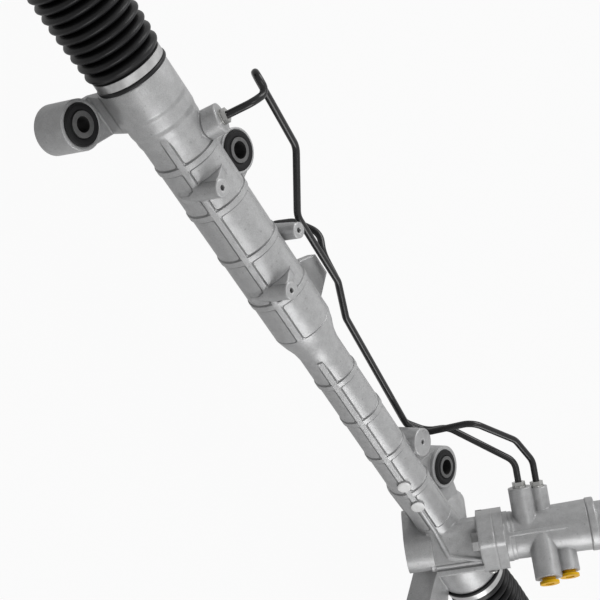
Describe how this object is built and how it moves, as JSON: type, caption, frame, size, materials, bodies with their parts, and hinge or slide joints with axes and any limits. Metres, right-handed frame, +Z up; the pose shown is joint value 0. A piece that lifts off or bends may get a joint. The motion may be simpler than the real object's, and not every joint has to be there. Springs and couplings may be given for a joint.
{
  "type": "power steering rack",
  "caption": "Hydraulic power steering rack: cast housing with power cylinder, leaning pinion valve, rubber-bushed mounts, steel pressure lines, ribbed bellows and jointed tie rods.",
  "frame": {"origin": "centre of the bolt bore of the rear bush at the pinion end, halfway up its casting eye", "axes": "+X along the rack bar towards the pinion end, +Y to the rear of the car, +Z up along the mounting bolts"},
  "size_m": [1.3285, 0.1896, 0.2493],
  "materials": {
    "cast_aluminium": "as cast, matte",
    "black_rubber": "satin",
    "black_steel_line": "satin black coat",
    "zinc_steel": "bright zinc",
    "ground_steel": "ground",
    "dark_steel": "phosphate",
    "bronze": "machined",
    "seal_rubber": "smooth",
    "white_nylon": "matte",
    "yellow_plastic": "gloss"
  },
  "bodies": {
    "housing": {"rack_housing": "cast_aluminium", "valve_housing": "cast_aluminium", "valve_end_cap": "cast_aluminium", "flange_bolts": "zinc_steel", "mount_rubbers": "black_rubber", "mount_sleeves": "zinc_steel", "pinion_lower_bearing": "bronze", "pinion_bottom_plug": "zinc_steel", "pinion_bearing_outer": "ground_steel", "pinion_bearing_nut": "dark_steel", "input_bearing": "bronze", "input_seal": "seal_rubber", "cylinder_rod_seal": "seal_rubber", "rack_guide": "cast_aluminium", "gland_snap_ring": "dark_steel", "bulkhead_seal": "seal_rubber", "yoke": "cast_aluminium", "yoke_liner": "white_nylon", "yoke_seal": "seal_rubber", "yoke_springs": "dark_steel", "yoke_plug": "zinc_steel", "yoke_lock_nut": "zinc_steel", "long_pressure_line": "black_steel_line", "short_pressure_line": "black_steel_line", "long_line_cylinder_nut": "zinc_steel", "short_line_cylinder_nut": "zinc_steel", "short_line_valve_nut": "zinc_steel", "long_line_valve_nut": "zinc_steel", "pressure_port_plug": "yellow_plastic", "return_port_plug": "yellow_plastic", "cylinder_end_bellows": "black_rubber", "pinion_end_bellows": "black_rubber", "cylinder_end_band": "zinc_steel", "pinion_end_band": "zinc_steel"},
    "pinion": {"pinion_shaft": "ground_steel", "pinion_bearing_inner": "ground_steel", "valve_sleeve": "ground_steel", "valve_sleeve_rings": "white_nylon"},
    "input": {"input_shaft": "ground_steel", "torsion_bar": "dark_steel", "torsion_pin": "dark_steel"},
    "rack": {"rack_bar": "ground_steel", "piston": "dark_steel", "piston_ring": "white_nylon", "cylinder_end_ball_socket": "dark_steel", "cylinder_end_tab_washer": "zinc_steel", "pinion_end_ball_socket": "dark_steel", "pinion_end_tab_washer": "zinc_steel"},
    "cylinder_end_seat": {"cylinder_end_ball_seat": "white_nylon"},
    "cylinder_end_rod": {"cylinder_end_tie_rod": "dark_steel", "cylinder_end_jam_nut": "zinc_steel", "cylinder_end_rod_clip": "zinc_steel"},
    "pinion_end_seat": {"pinion_end_ball_seat": "white_nylon"},
    "pinion_end_rod": {"pinion_end_tie_rod": "dark_steel", "pinion_end_jam_nut": "zinc_steel", "pinion_end_rod_clip": "zinc_steel"}
  },
  "joints": [
    {"name": "rack_slide", "type": "slide", "parent": "housing", "child": "rack", "axis": [1, 0, 0], "range_m": [-0.072, 0.072], "deforming": ["cylinder_end_bellows", "pinion_end_bellows"]},
    {"name": "pinion_turn", "type": "hinge", "parent": "housing", "child": "pinion", "pos_m": [0.0493, -0.05806, 0.01939], "axis": [0.2773, 0.4731, 0.8362], "range_deg": [-525, 525]},
    {"name": "input_twist", "type": "hinge", "parent": "pinion", "child": "input", "pos_m": [0.0493, -0.05806, 0.01939], "axis": [0.2773, 0.4731, 0.8362], "range_deg": [-4, 4], "stiffness_Nm_per_rad": 80},
    {"name": "cylinder_end_swing", "type": "hinge", "parent": "rack", "child": "cylinder_end_seat", "pos_m": [-0.6316, -0.045, 0.012], "axis": [0, 0, 1], "range_deg": [-15, 15]},
    {"name": "cylinder_end_lift", "type": "hinge", "parent": "cylinder_end_seat", "child": "cylinder_end_rod", "pos_m": [-0.6316, -0.045, 0.012], "axis": [0, 1, 0], "range_deg": [-20, 20]},
    {"name": "pinion_end_swing", "type": "hinge", "parent": "rack", "child": "pinion_end_seat", "pos_m": [0.2169, -0.045, 0.012], "axis": [0, 0, 1], "range_deg": [-15, 15]},
    {"name": "pinion_end_lift", "type": "hinge", "parent": "pinion_end_seat", "child": "pinion_end_rod", "pos_m": [0.2169, -0.045, 0.012], "axis": [0, 1, 0], "range_deg": [-20, 20]}
  ],
  "couplings": [
    {"joint": "pinion_turn", "follows": "rack_slide", "rad_per_m": -126.42}
  ]
}
